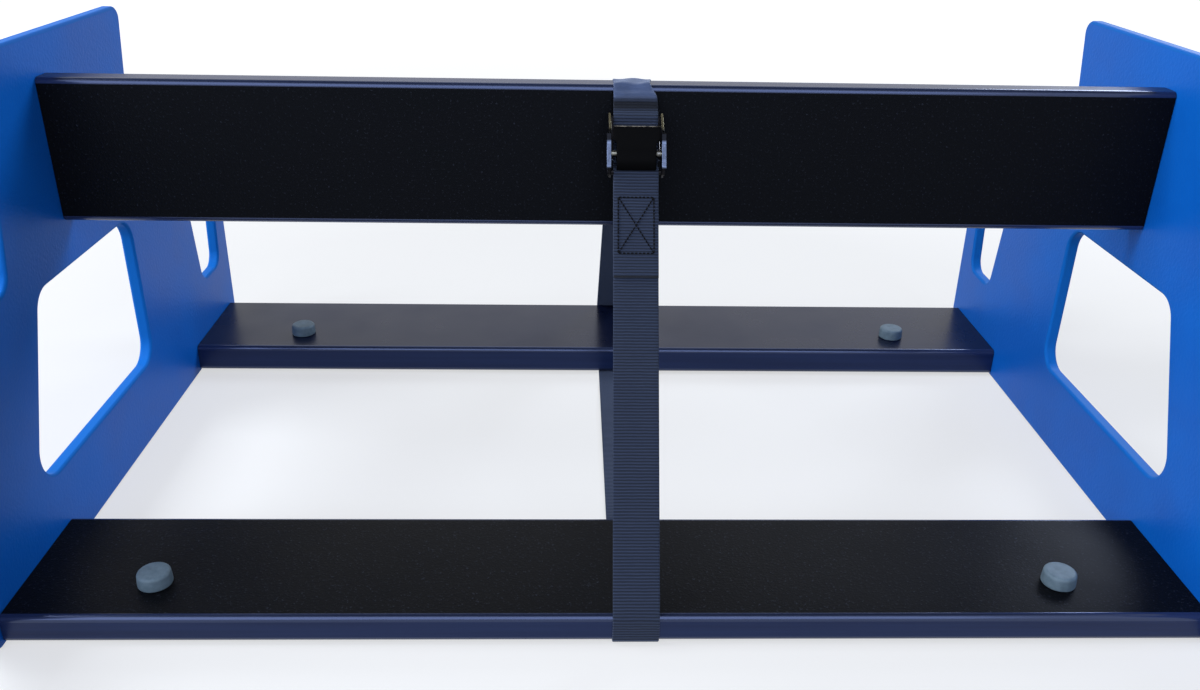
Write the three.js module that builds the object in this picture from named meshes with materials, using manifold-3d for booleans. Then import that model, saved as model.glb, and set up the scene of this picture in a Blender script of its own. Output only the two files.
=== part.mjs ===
import * as THREE from 'three';
import { mergeVertices } from 'three/addons/utils/BufferGeometryUtils.js';
import Module from 'manifold-3d';

// Ski rack stand: two end panels, three boards, a webbing strap with a cam buckle.
// X runs along the skis, -Y is the front, Z is up. Millimetres.

// Overall sizes
const INNER_HALF = 490;
const PANEL_T = 12.7;
const PANEL_TOP = 440;
const GAP = 0.3;
const Y_SHIFT = 35;
const EDGE_BEVEL = 2.2;

// Boards
const BOARD_T = 25.4;
const REAR_BOARD_T = 31.75;
const BOARD_EDGE_R = 5;
const BOARD_LIFT = 3;
const LOW_BOARD_W = 140;
const FRONT_LIP_Y = -320;
const REAR_BOARD_Y = 170;
const UPPER_FRONT_Y = -85;
const UPPER_TOP = 406;
const UPPER_H = 127;

// Screws that hold the board ends
const SCREW_R = 2.5;
const SCREW_HEAD_R = 5.4;
const SCREW_HEAD_H = 3.2;
const SCREW_LEN = 50;
const SCREW_HEX = 1.9;

// Bumpers on the lower boards
const BUMPER_R = 14.2;
const BUMPER_H = 12.5;

// Strap and buckle
const STRAP_X = 18;
const STRAP_W = 38.1;
const STRAP_T = 1.8;
const PIVOT_DOWN = 60.8;
const PIVOT_N = 11.2;
const LINE_N = 3.0;
const BAR_A = -14;
const BAR_N = 4.05;
const PIN_R = 2.2;
const BUCKLE_HALF = 21.2;
const FLANGE_T = 2.0;
const FLANGE_LIP = 1.8;
const LEVER_HALF = 16.7;
const THUMB_HALF = 19.7;

const wasm = await Module();
wasm.setup();

// Colours of the pieces
const BLUE = 0x1656b8;
const BLACK = 0x15171c;
const WEBBING = 0x2b2f3a;
const THREAD = 0x17191f;
const STEEL = 0xb9bcc0;
const DARK_STEEL = 0x3a3a38;
const RUBBER = 0x93a2b0;

function material(color, roughness, metalness) {
  return new THREE.MeshStandardMaterial({ color, roughness, metalness });
}

// Solid from a closed geometry
function toSolid(geometry) {
  const g = geometry.clone();
  g.deleteAttribute('normal');
  g.deleteAttribute('uv');
  const merged = mergeVertices(g, 1e-4);
  const index = merged.index.array;
  const tris = [];
  for (let i = 0; i < index.length; i += 3) {
    const [a, b, c] = [index[i], index[i + 1], index[i + 2]];
    if (a !== b && b !== c && a !== c) tris.push(a, b, c);
  }
  const mesh = new wasm.Mesh({
    numProp: 3,
    vertProperties: new Float32Array(merged.attributes.position.array),
    triVerts: new Uint32Array(tris),
  });
  return new wasm.Manifold(mesh);
}

// Geometry from a solid
function toGeometry(solid) {
  const mesh = solid.getMesh();
  const g = new THREE.BufferGeometry();
  g.setAttribute('position', new THREE.BufferAttribute(new Float32Array(mesh.vertProperties), 3));
  g.setIndex(new THREE.BufferAttribute(new Uint32Array(mesh.triVerts), 1));
  g.computeVertexNormals();
  return g;
}

// Outline with rounded corners from rows of [u, v, radius]
function roundedOutline(rows, steps = 5) {
  const out = [];
  const n = rows.length;
  for (let i = 0; i < n; i += 1) {
    const p = new THREE.Vector2(rows[i][0], rows[i][1]);
    const prev = new THREE.Vector2(rows[(i + n - 1) % n][0], rows[(i + n - 1) % n][1]);
    const next = new THREE.Vector2(rows[(i + 1) % n][0], rows[(i + 1) % n][1]);
    const r = rows[i][2];
    if (!r) {
      out.push(p);
      continue;
    }
    const d0 = prev.clone().sub(p).normalize();
    const d1 = next.clone().sub(p).normalize();
    const half = Math.acos(THREE.MathUtils.clamp(d0.dot(d1), -1, 1)) / 2;
    const reach = r / Math.tan(half);
    const centre = p.clone().add(d0.clone().add(d1).normalize().multiplyScalar(r / Math.sin(half)));
    const start = p.clone().add(d0.multiplyScalar(reach)).sub(centre);
    const end = p.clone().add(d1.multiplyScalar(reach)).sub(centre);
    const a0 = Math.atan2(start.y, start.x);
    let sweep = Math.atan2(end.y, end.x) - a0;
    if (sweep > Math.PI) sweep -= 2 * Math.PI;
    if (sweep < -Math.PI) sweep += 2 * Math.PI;
    for (let k = 0; k <= steps; k += 1) {
      const a = a0 + (sweep * k) / steps;
      out.push(new THREE.Vector2(centre.x + r * Math.cos(a), centre.y + r * Math.sin(a)));
    }
  }
  return out;
}

// Outline in the Y-Z plane pushed along X, from x0 over a length
function extrudeX(outline, x0, length, holes = [], bevel = 0) {
  const shape = new THREE.Shape(outline);
  for (const hole of holes) shape.holes.push(new THREE.Path(hole));
  const g = new THREE.ExtrudeGeometry(shape, {
    depth: length - 2 * bevel,
    bevelEnabled: bevel > 0,
    bevelThickness: bevel,
    bevelSize: bevel,
    bevelOffset: -bevel,
    bevelSegments: 2,
    curveSegments: 8,
  });
  const basis = new THREE.Matrix4().makeBasis(
    new THREE.Vector3(0, 1, 0),
    new THREE.Vector3(0, 0, 1),
    new THREE.Vector3(1, 0, 0),
  );
  g.applyMatrix4(basis);
  g.translate(x0 + bevel, 0, 0);
  return g;
}

function circle(u, v, r, sides = 16) {
  const out = [];
  for (let k = 0; k < sides; k += 1) {
    const a = (2 * Math.PI * k) / sides;
    out.push(new THREE.Vector2(u + r * Math.cos(a), v + r * Math.sin(a)));
  }
  return out;
}

function cylinderX(r, length, x, y, z, sides = 16) {
  const g = new THREE.CylinderGeometry(r, r, length, sides);
  g.rotateZ(-Math.PI / 2);
  g.translate(x, y, z);
  return g;
}

const rack = new THREE.Group();

function addMesh(parent, name, geometry, mat) {
  const mesh = new THREE.Mesh(geometry, mat);
  mesh.name = name;
  parent.add(mesh);
  return mesh;
}

// End panel outline: base, front hook, front slots, top, rear slots
const PANEL_ROWS = [
  [FRONT_LIP_Y - 6, 0, 12],
  [326, 0, 12],
  [328, 172, 13],
  [296, 172, 13],
  [289, 98, 18],
  [227, 98, 18],
  [192, 346, 16],
  [153, 346, 14],
  [139, 268, 18],
  [80, 268, 18],
  [112, PANEL_TOP, 12],
  [-163, PANEL_TOP, 12],
  [-196, 257, 18],
  [-251, 257, 18],
  [-237, 336, 14],
  [-271, 336, 14],
  [-305, 98, 18],
  [-365, 98, 18],
  [-367, 176, 13],
  [-396, 176, 13],
  [-398, 84, 26],
];

// Window in the panel
const WINDOW_ROWS = [
  [-219, 80, 24],
  [48, 80, 24],
  [48, 238, 24],
  [-152, 238, 24],
];

// Screw places in the Y-Z plane for each board
const upperMidY = UPPER_FRONT_Y + BOARD_T / 2;
const frontMidZ = BOARD_LIFT + BOARD_T / 2;
const rearMidZ = BOARD_LIFT + REAR_BOARD_T / 2;
const SCREWS = {
  upper: [300, 342.5, 385].map((z) => [upperMidY, z]),
  front: [20, 70, 120].map((d) => [FRONT_LIP_Y + d, frontMidZ]),
  rear: [20, 70, 120].map((d) => [REAR_BOARD_Y + d, rearMidZ]),
};
const SIDES = { left: -1, right: 1 };

// End panels
for (const [side, sign] of Object.entries(SIDES)) {
  const holes = [roundedOutline(WINDOW_ROWS, 6)];
  const x0 = sign < 0 ? -INNER_HALF - PANEL_T : INNER_HALF;
  const blank = toSolid(extrudeX(roundedOutline(PANEL_ROWS, 6), x0, PANEL_T, holes, EDGE_BEVEL));
  let solid = blank;
  for (const places of Object.values(SCREWS)) {
    for (const [y, z] of places) {
      const drill = cylinderX(SCREW_R + GAP, PANEL_T + 8, sign * (INNER_HALF + PANEL_T / 2), y, z);
      solid = solid.subtract(toSolid(drill));
    }
  }
  addMesh(rack, `end_panel_${side}`, toGeometry(solid), material(BLUE, 0.42, 0));
}

// Board with rounded long edges and a row of blind holes in each end
function board(y0, z0, w, h, places) {
  const rows = [
    [y0, z0, BOARD_EDGE_R],
    [y0 + w, z0, BOARD_EDGE_R],
    [y0 + w, z0 + h, BOARD_EDGE_R],
    [y0, z0 + h, BOARD_EDGE_R],
  ];
  const length = 2 * (INNER_HALF - GAP);
  let solid = toSolid(extrudeX(roundedOutline(rows, 4), -length / 2, length));
  const depth = SCREW_LEN - PANEL_T + 2;
  for (const sign of Object.values(SIDES)) {
    for (const [y, z] of places) {
      const drill = cylinderX(SCREW_R + GAP, 2 * depth, sign * INNER_HALF, y, z);
      solid = solid.subtract(toSolid(drill));
    }
  }
  return toGeometry(solid);
}

const boardMat = () => material(BLACK, 0.5, 0);
addMesh(
  rack,
  'upper_board',
  board(UPPER_FRONT_Y, UPPER_TOP - UPPER_H, BOARD_T, UPPER_H, SCREWS.upper),
  boardMat(),
);
addMesh(
  rack,
  'front_lower_board',
  board(FRONT_LIP_Y, BOARD_LIFT, LOW_BOARD_W, BOARD_T, SCREWS.front),
  boardMat(),
);
addMesh(
  rack,
  'rear_lower_board',
  board(REAR_BOARD_Y, BOARD_LIFT, LOW_BOARD_W, REAR_BOARD_T, SCREWS.rear),
  boardMat(),
);

// Button head screw with a hexagon socket, head outwards along +X, seat at x = 0
function screw() {
  const profile = [
    [0, -SCREW_LEN],
    [SCREW_R - 0.8, -SCREW_LEN],
    [SCREW_R, -SCREW_LEN + 2],
    [SCREW_R, GAP],
    [SCREW_HEAD_R, GAP],
    [SCREW_HEAD_R, GAP + 1],
    [SCREW_HEAD_R - 1, GAP + 2.3],
    [SCREW_HEAD_R - 2.6, GAP + SCREW_HEAD_H],
    [0, GAP + SCREW_HEAD_H],
  ].map(([r, h]) => new THREE.Vector2(r, h));
  const body = new THREE.LatheGeometry(profile, 18);
  const socket = new THREE.CylinderGeometry(SCREW_HEX, SCREW_HEX, 4, 6);
  socket.translate(0, GAP + SCREW_HEAD_H + 2 - 2.2, 0);
  const g = toGeometry(toSolid(body).subtract(toSolid(socket)));
  g.rotateZ(-Math.PI / 2);
  return g;
}

for (const [row, places] of Object.entries(SCREWS)) {
  for (const [side, sign] of Object.entries(SIDES)) {
    places.forEach(([y, z], i) => {
      const name = `screw_${row}_${side}_${i + 1}`;
      const mesh = addMesh(rack, name, screw(), material(STEEL, 0.35, 1));
      mesh.position.set(sign * (INNER_HALF + PANEL_T), y, z);
      mesh.rotation.y = sign < 0 ? Math.PI : 0;
    });
  }
}

// Flat rubber bumper with a rounded rim
function bumper() {
  const profile = [
    [0, 0],
    [BUMPER_R - 0.8, 0],
    [BUMPER_R, 0.8],
    [BUMPER_R - 0.4, BUMPER_H - 3.2],
    [BUMPER_R - 0.7, BUMPER_H - 1.9],
    [BUMPER_R - 1.4, BUMPER_H - 0.9],
    [BUMPER_R - 2.4, BUMPER_H - 0.25],
    [BUMPER_R - 3.6, BUMPER_H],
    [0, BUMPER_H],
  ].map(([r, h]) => new THREE.Vector2(r, h));
  const g = new THREE.LatheGeometry(profile, 32);
  g.rotateX(Math.PI / 2);
  return g;
}

const BUMPERS = {
  front: [381, -276, BOARD_LIFT + BOARD_T + GAP],
  rear: [370, REAR_BOARD_Y + 41, BOARD_LIFT + REAR_BOARD_T + GAP],
};
for (const [row, [x, y, z]] of Object.entries(BUMPERS)) {
  for (const [side, sign] of Object.entries(SIDES)) {
    const mesh = addMesh(rack, `bumper_${row}_${side}`, bumper(), material(RUBBER, 0.6, 0));
    mesh.position.set(sign * x, y, z);
  }
}

// Corner circles that the strap bends around, clockwise seen from +X: front top, lip, base, rear, top
const BEND_R = BOARD_EDGE_R + GAP + STRAP_T / 2;
const E = BOARD_EDGE_R;
const lipTop = BOARD_LIFT + BOARD_T - E;
const rearTop = BOARD_LIFT + REAR_BOARD_T - E;
const lowBottom = BOARD_LIFT + E;
const rearY = REAR_BOARD_Y + LOW_BOARD_W - E;
const corners = [
  [UPPER_FRONT_Y + E, UPPER_TOP - E],
  [FRONT_LIP_Y + E, lipTop],
  [FRONT_LIP_Y + E, lowBottom],
  [rearY, lowBottom],
  [rearY, rearTop],
  [UPPER_FRONT_Y + BOARD_T - E, UPPER_TOP - E],
].map(([y, z]) => new THREE.Vector2(y, z));

// Outward unit normal of the straight run from one corner to the next
function runNormal(i) {
  const d = corners[(i + 1) % corners.length].clone().sub(corners[i]).normalize();
  return new THREE.Vector2(d.y, -d.x);
}

function arc(centre, r, a0, a1, steps) {
  const out = [];
  for (let k = 0; k <= steps; k += 1) {
    const a = a0 + ((a1 - a0) * k) / steps;
    out.push(new THREE.Vector2(centre.x + r * Math.cos(a), centre.y + r * Math.sin(a)));
  }
  return out;
}

// Arc around corner i between the normals of the run before it and the run after it
function cornerArc(i, steps) {
  const n = corners.length;
  const before = runNormal((i + n - 1) % n);
  const after = runNormal(i);
  const a0 = Math.atan2(before.y, before.x);
  let a1 = Math.atan2(after.y, after.x);
  if (a1 < a0) a1 += 2 * Math.PI;
  return arc(corners[i], BEND_R, a0, a1, steps);
}

// Local frame on the front run: a runs up the strap, n points outwards
const upDir = corners[0].clone().sub(corners[1]).normalize();
const outDir = new THREE.Vector2(-upDir.y, upDir.x);
const runTop = corners[0].clone().add(outDir.clone().multiplyScalar(BEND_R));
const pivotFoot = runTop.clone().sub(upDir.clone().multiplyScalar(PIVOT_DOWN));

function local(a, n) {
  return pivotFoot
    .clone()
    .add(upDir.clone().multiplyScalar(a))
    .add(outDir.clone().multiplyScalar(n - LINE_N));
}

const localArc = (a, n, r, a0, a1, steps) =>
  arc(new THREE.Vector2(a, n), r, a0, a1, steps).map((p) => local(p.x, p.y));

// Eased step between two heights of the strap over a length
function ease(aFrom, nFrom, aTo, nTo, steps) {
  const out = [];
  for (let k = 1; k < steps; k += 1) {
    const t = k / steps;
    const s = t * t * (3 - 2 * t);
    out.push(local(aFrom + (aTo - aFrom) * t, nFrom + (nTo - nFrom) * s));
  }
  return out;
}

const WRAP_R = PIN_R + GAP + STRAP_T / 2;
const FOLD_N = LINE_N + STRAP_T + GAP;
const TAIL_N = BAR_N - WRAP_R - STRAP_T - GAP;
const TURN_R = 2.5;
const TURN = (70 * Math.PI) / 180;
const TURN_A = -3.6;
const turnDrop = LINE_N - TAIL_N;
const turnRun = (turnDrop - 2 * TURN_R * (1 - Math.cos(TURN))) / Math.sin(TURN);
const TURN_END = TURN_A - 2 * TURN_R * Math.sin(TURN) - turnRun * Math.cos(TURN);

const strapPath = [
  local(-105, FOLD_N),
  local(-34, FOLD_N),
  ...ease(-34, FOLD_N, BAR_A - 1, BAR_N + WRAP_R, 7),
  ...localArc(BAR_A, BAR_N, WRAP_R, Math.PI / 2, -Math.PI / 2, 14),
  ...ease(BAR_A - 1, BAR_N - WRAP_R, -34, LINE_N, 7),
  local(-34, LINE_N),
  ...cornerArc(1, 4),
  ...cornerArc(2, 8),
  ...cornerArc(3, 8),
  ...cornerArc(4, 5),
  ...cornerArc(5, 6),
  ...cornerArc(0, 6),
  local(TURN_A + 4, LINE_N),
  ...localArc(TURN_A, LINE_N - TURN_R, TURN_R, Math.PI / 2, Math.PI / 2 + TURN, 5),
  ...localArc(TURN_END, TAIL_N + TURN_R, TURN_R, -Math.PI / 2 + TURN, -Math.PI / 2, 5),
  local(-30, TAIL_N),
  local(-86, TAIL_N - 1.2),
];

// Thin band outline on both sides of a path
function bandOutline(path, thickness) {
  const left = [];
  const right = [];
  for (let i = 0; i < path.length; i += 1) {
    const before = path[Math.max(i - 1, 0)];
    const after = path[Math.min(i + 1, path.length - 1)];
    const d0 = path[i].clone().sub(before);
    const d1 = after.clone().sub(path[i]);
    const dir = new THREE.Vector2();
    if (d0.length() > 1e-6) dir.add(d0.clone().normalize());
    if (d1.length() > 1e-6) dir.add(d1.clone().normalize());
    dir.normalize();
    const normal = new THREE.Vector2(-dir.y, dir.x).multiplyScalar(thickness / 2);
    left.push(path[i].clone().add(normal));
    right.push(path[i].clone().sub(normal));
  }
  return [...left, ...right.reverse()];
}

addMesh(
  rack,
  'strap_webbing',
  extrudeX(bandOutline(strapPath, STRAP_T), STRAP_X - STRAP_W / 2, STRAP_W),
  material(WEBBING, 0.85, 0),
);

// Buckle group: local X across the strap, Y up the strap, Z outwards, origin under the pivot
const buckle = new THREE.Group();
const up3 = new THREE.Vector3(0, upDir.x, upDir.y);
const out3 = new THREE.Vector3(0, outDir.x, outDir.y);
const zero = local(0, 0);
const side3 = new THREE.Vector3().crossVectors(up3, out3);
const pose = new THREE.Matrix4().makeBasis(side3, up3, out3);
buckle.quaternion.setFromRotationMatrix(pose);
buckle.position.set(STRAP_X, zero.x, zero.y);
rack.add(buckle);

// Box stitch with a cross, raised on the folded end
const STITCH_A0 = -84.5;
const STITCH_A1 = -36.5;
const STITCH_HALF = 15;
const STITCH_W = 0.9;
const STITCH_H = 0.5;
const stitchMid = (STITCH_A0 + STITCH_A1) / 2;
const stitchLen = STITCH_A1 - STITCH_A0;

// Four triangles left open between the box lines and the cross
const lean = Math.atan2(STITCH_HALF, stitchLen / 2);
const hw = STITCH_W / 2;
const inX = STITCH_HALF - hw;
const inY = stitchLen / 2 - hw;
const farX = inY * Math.tan(lean) - hw / Math.cos(lean);
const farY = inX / Math.tan(lean) - hw / Math.sin(lean);
const openings = [];
for (const s of [-1, 1]) {
  openings.push([[0, (s * hw) / Math.sin(lean)], [-farX, s * inY], [farX, s * inY]]);
  openings.push([[(s * hw) / Math.cos(lean), 0], [s * inX, -farY], [s * inX, farY]]);
}
const outX = STITCH_HALF + hw;
const outY = stitchLen / 2 + hw;
const box = [[-outX, -outY], [outX, -outY], [outX, outY], [-outX, outY]];
const stitchShape = new THREE.Shape(box.map(([x, y]) => new THREE.Vector2(x, y)));
for (const rows of openings) {
  stitchShape.holes.push(new THREE.Path(rows.map(([x, y]) => new THREE.Vector2(x, y))));
}
const stitchGeometry = new THREE.ExtrudeGeometry(stitchShape, { depth: STITCH_H, bevelEnabled: false });
stitchGeometry.translate(0, stitchMid, FOLD_N + STRAP_T / 2 + 0.1);
addMesh(buckle, 'strap_stitching', stitchGeometry, material(THREAD, 0.8, 0));

// Buckle frame: base plate, two side flanges with a rolled lip
const FRAME_TOP = 37.3;
const flangeRows = [
  [FRAME_TOP, 0, 1.5],
  [FRAME_TOP, 6, 2.5],
  [15.5, 18, 2.5],
  [7, 16.2, 3],
  [-13.3, 16.2, 2],
  [-17.6, 8.6, 2],
  [-18.8, 0, 2.5],
];
const lipRows = [
  [16.6, 15.8, 0],
  [15.5, 18, 0.6],
  [7, 16.2, 3],
  [-13.3, 16.2, 1.2],
  [-14.3, 14.7, 0],
  [7.5, 14.7, 3],
];
let frame = null;
for (const sign of [-1, 1]) {
  const holes = [circle(0, PIVOT_N, PIN_R + GAP), circle(BAR_A, BAR_N, PIN_R + GAP)];
  const x0 = sign < 0 ? -BUCKLE_HALF - FLANGE_T : BUCKLE_HALF;
  const flange = toSolid(extrudeX(roundedOutline(flangeRows, 4), x0, FLANGE_T, holes));
  const lipX = sign < 0 ? x0 - FLANGE_LIP : x0 + FLANGE_T - 0.4;
  const lip = toSolid(extrudeX(roundedOutline(lipRows, 4), lipX, FLANGE_LIP + 0.4));
  const side = flange.add(lip);
  frame = frame ? frame.add(side) : side;
}
const plate = new THREE.BoxGeometry(2 * BUCKLE_HALF + 1, FRAME_TOP - 1.5 + 3, 1.8);
plate.translate(0, (FRAME_TOP - 1.5 - 3) / 2, 0.9);
const plateSlot = new THREE.BoxGeometry(24, 6, 4);
plateSlot.translate(0, 22, 0.9);
frame = frame.add(toSolid(plate)).subtract(toSolid(plateSlot));
addMesh(buckle, 'buckle_frame', toGeometry(frame), material(DARK_STEEL, 0.35, 1));

// Pin with a formed head at each end
function headedPin() {
  const outer = BUCKLE_HALF + FLANGE_T + GAP;
  const profile = [
    [0, -outer - 1.2],
    [2.3, -outer - 1.2],
    [3.1, -outer - 0.5],
    [3.1, -outer],
    [PIN_R, -outer],
    [PIN_R, outer],
    [3.1, outer],
    [3.1, outer + 0.5],
    [2.3, outer + 1.2],
    [0, outer + 1.2],
  ].map(([r, h]) => new THREE.Vector2(r, h));
  const g = new THREE.LatheGeometry(profile, 20);
  g.rotateZ(-Math.PI / 2);
  return g;
}

const pivotPin = addMesh(buckle, 'buckle_pivot_pin', headedPin(), material(STEEL, 0.3, 1));
pivotPin.position.set(0, 0, PIVOT_N);
const anchorBar = addMesh(buckle, 'buckle_anchor_bar', headedPin(), material(STEEL, 0.3, 1));
anchorBar.position.set(0, BAR_A, BAR_N);

// Cam lever: a spiral toothed drum under a thumb plate that is wider above the flanges' peak
const drum = [];
for (let k = 0; k < 72; k += 1) {
  const deg = -180 + k * 5;
  const inTeeth = deg >= -130 && deg <= -50;
  const spiral = 7.0 - (deg + 95) * 0.02;
  const tooth = k % 2 === 0 ? 0 : -0.7;
  const r = inTeeth ? Math.min(spiral + tooth, 7.4) : 5.6;
  const a = (deg * Math.PI) / 180;
  drum.push(new THREE.Vector2(r * Math.cos(a), PIVOT_N + r * Math.sin(a)));
}
const thumbRows = [
  [-14.8, 9.9, 0.7],
  [-12.8, 9.5, 0.7],
  [-10.4, 12.8, 0],
  [-8.2, 14, 0],
  [-5, 15, 0],
  [4, 15, 0],
  [9, 16.4, 0],
  [16, 17.6, 0],
  [21.7, 19.3, 0.8],
  [21.2, 21.4, 0.8],
  [15.5, 19.9, 0],
  [11, 19.1, 0],
  [4, 18.3, 0],
  [-4, 17.9, 0],
  [-8, 16.8, 0],
  [-11.6, 14.2, 0],
];
let thumb = toSolid(extrudeX(roundedOutline(thumbRows, 4), -THUMB_HALF, 2 * THUMB_HALF));
for (const sign of [-1, 1]) {
  const cheek = new THREE.BoxGeometry(8, 40, 24);
  cheek.translate(sign * (LEVER_HALF + 4), 9.5 - 20, 14);
  thumb = thumb.subtract(toSolid(cheek));
}
const lever = toSolid(extrudeX(drum, -LEVER_HALF, LEVER_HALF + 14.2))
  .add(thumb)
  .subtract(toSolid(cylinderX(PIN_R + GAP, 60, 0, 0, PIVOT_N, 20)));
addMesh(buckle, 'buckle_cam_lever', toGeometry(lever), material(BLACK, 0.5, 0.4));

// Torsion spring around the pin, beside the drum
const SPRING_R = 2.95;
const SPRING_WIRE = 0.4;
const springPoints = [];
const coilX0 = 15.1;
springPoints.push(new THREE.Vector3(coilX0, 11.5, PIVOT_N + SPRING_R - 0.6));
springPoints.push(new THREE.Vector3(coilX0, 6, PIVOT_N + SPRING_R - 0.3));
const TURNS = 3.5;
const coilSteps = 56;
const coilX1 = BUCKLE_HALF - 1.0;
for (let k = 0; k <= coilSteps; k += 1) {
  const a = Math.PI / 2 + (k / coilSteps) * TURNS * 2 * Math.PI;
  const x = coilX0 + ((coilX1 - coilX0) * k) / coilSteps;
  springPoints.push(new THREE.Vector3(x, SPRING_R * Math.cos(a), PIVOT_N + SPRING_R * Math.sin(a)));
}
springPoints.push(new THREE.Vector3(coilX1, 6, PIVOT_N - SPRING_R - 0.8));
springPoints.push(new THREE.Vector3(coilX1, 12, PIVOT_N - SPRING_R - 2.6));
const wire = new THREE.Shape(circle(0, 0, SPRING_WIRE, 6));
const springCurve = new THREE.CatmullRomCurve3(springPoints, false, 'centripetal');
const spring = new THREE.ExtrudeGeometry(wire, {
  steps: 110,
  bevelEnabled: false,
  extrudePath: springCurve,
});
addMesh(buckle, 'buckle_spring', spring, material(STEEL, 0.3, 1));

rack.position.set(0, Y_SHIFT, 0);
rack.updateMatrixWorld(true);

export default rack;
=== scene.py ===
"""Ski rack stand: blue sheet end panels, black boards, a webbing strap and its cam buckle.

X runs along the boards, -Y is the front, Z is up. Sizes in the code are millimetres and are
turned into metres where a mesh is made.
"""
import math

import bpy
import numpy as np
from bpy.props import FloatProperty, IntProperty, PointerProperty
from bpy.types import Operator, Panel, PropertyGroup
from mathutils import Matrix, Vector
from mathutils.geometry import delaunay_2d_cdt


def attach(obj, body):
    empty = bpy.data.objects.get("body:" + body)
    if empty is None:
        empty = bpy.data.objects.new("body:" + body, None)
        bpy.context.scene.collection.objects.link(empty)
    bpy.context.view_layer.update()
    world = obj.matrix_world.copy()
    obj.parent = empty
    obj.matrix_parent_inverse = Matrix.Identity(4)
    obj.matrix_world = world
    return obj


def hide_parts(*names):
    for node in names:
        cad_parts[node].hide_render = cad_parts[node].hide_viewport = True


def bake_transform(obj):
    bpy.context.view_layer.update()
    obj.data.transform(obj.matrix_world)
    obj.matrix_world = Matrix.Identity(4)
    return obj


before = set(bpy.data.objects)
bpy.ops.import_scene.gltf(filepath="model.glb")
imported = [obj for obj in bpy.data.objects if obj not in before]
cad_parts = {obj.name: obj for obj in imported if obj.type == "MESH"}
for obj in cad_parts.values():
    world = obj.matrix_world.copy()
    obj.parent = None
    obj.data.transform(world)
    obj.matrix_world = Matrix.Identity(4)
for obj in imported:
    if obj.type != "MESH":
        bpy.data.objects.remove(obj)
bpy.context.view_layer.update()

bl_info = {
    "name": "Ski Rack Stand",
    "version": (1, 0, 0),
    "blender": (4, 5, 0),
    "location": "3D View > Sidebar > Rack",
    "description": "Builds the surfaces, finishes and stage of a ski rack stand",
    "category": "Add Mesh",
}

# Places in the rack's own layout, millimetres, before the shift that centres the footprint
Y_SHIFT = 35.0
INNER = 490.0
PANEL_T = 12.7
GAP = 0.3
BOARD_T = 25.4
BOARD_R = 5.0
REAR_BOARD_T = 31.75
BOARD_LIFT = 3.0
FRONT_LIP = -320.0
REAR_BOARD = 170.0
LOW_W = 140.0
UPPER_FRONT = -85.0
UPPER_TOP = 406.0
UPPER_H = 127.0

# End panel outline, rows of y, z, corner radius, and its window
PANEL_ROWS = [
    (-326, 0, 12), (326, 0, 12), (328, 172, 13), (296, 172, 13), (289, 98, 18), (227, 98, 18),
    (192, 346, 16), (153, 346, 14), (139, 268, 18), (80, 268, 18), (112, 440, 12),
    (-163, 440, 12), (-196, 257, 18), (-251, 257, 18), (-237, 336, 14), (-271, 336, 14),
    (-305, 98, 18), (-365, 98, 18), (-367, 176, 13), (-396, 176, 13), (-398, 84, 26),
]
WINDOW_ROWS = [(-219, 80, 24), (48, 80, 24), (48, 238, 24), (-152, 238, 24)]

# Strap and buckle, in the strap's own frame: x across, a up the strap, n outwards
STRAP_X = 18.0
STRAP_W = 38.1
STRAP_T = 1.8
RIB_PITCH = 2.55
YARN_PITCH = 0.85
LINE_N = 3.0
PIVOT_N = 11.2
BAR_A = -14.0
BAR_N = 4.05
PIN_R = 2.2
BUCKLE_HALF = 21.2
FLANGE_T = 2.0
FLANGE_LIP = 1.8
LEVER_HALF = 16.7
THUMB_HALF = 19.7
COIL_X = (15.1, BUCKLE_HALF - 1.0)

SIDES = (("left", -1), ("right", 1))


class RackSizes(PropertyGroup):
    """Finish of the edges and density of the surfaces."""

    panel_edge: FloatProperty(
        name="Panel edge", description="Radius of the routed panel edge", default=0.003,
        unit="LENGTH", subtype="DISTANCE")
    board_edge: FloatProperty(
        name="Board edge", description="Radius of the long edges of the boards", default=0.005,
        unit="LENGTH", subtype="DISTANCE")
    corner_steps: IntProperty(
        name="Corner steps", description="Points around each rounded corner", default=14)
    strap_step: FloatProperty(
        name="Strap step", description="Longest step along the strap", default=0.006,
        unit="LENGTH", subtype="DISTANCE")
    stitch: FloatProperty(
        name="Stitch", description="Length of one stitch", default=0.0033,
        unit="LENGTH", subtype="DISTANCE")


class StageSettings(PropertyGroup):
    """Camera and studio light."""

    lens: FloatProperty(
        name="Lens", description="Focal length in millimetres on a 36 mm frame", default=31.36)
    key: FloatProperty(
        name="Key", description="Power of the light at the upper left", default=66.0, unit="POWER")
    front: FloatProperty(
        name="Front", description="Power of the broad light behind the camera", default=46.0,
        unit="POWER")
    rear: FloatProperty(
        name="Rear", description="Power of the light at the right, behind", default=34.0,
        unit="POWER")
    fill: FloatProperty(
        name="Fill", description="Strength of the light from all round", default=0.09)


# Colour and node helpers


def rgba(code):
    """sRGB hex text to linear red, green, blue, alpha."""
    c = np.array([int(code[i:i + 2], 16) for i in (1, 3, 5)]) / 255.0
    lin = np.where(c <= 0.04045, c / 12.92, ((c + 0.055) / 1.055) ** 2.4)
    return (*lin.tolist(), 1.0)


def add(tree, kind, links=(), **values):
    """Adds a node, sets its attributes or named inputs, and links (input, output socket) pairs."""
    node = tree.nodes.new(kind)
    for key, value in values.items():
        if hasattr(node, key):
            setattr(node, key, value)
        else:
            node.inputs[key.replace("_", " ")].default_value = value
    for name, socket in links:
        tree.links.new(socket, node.inputs[name])
    return node


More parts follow.
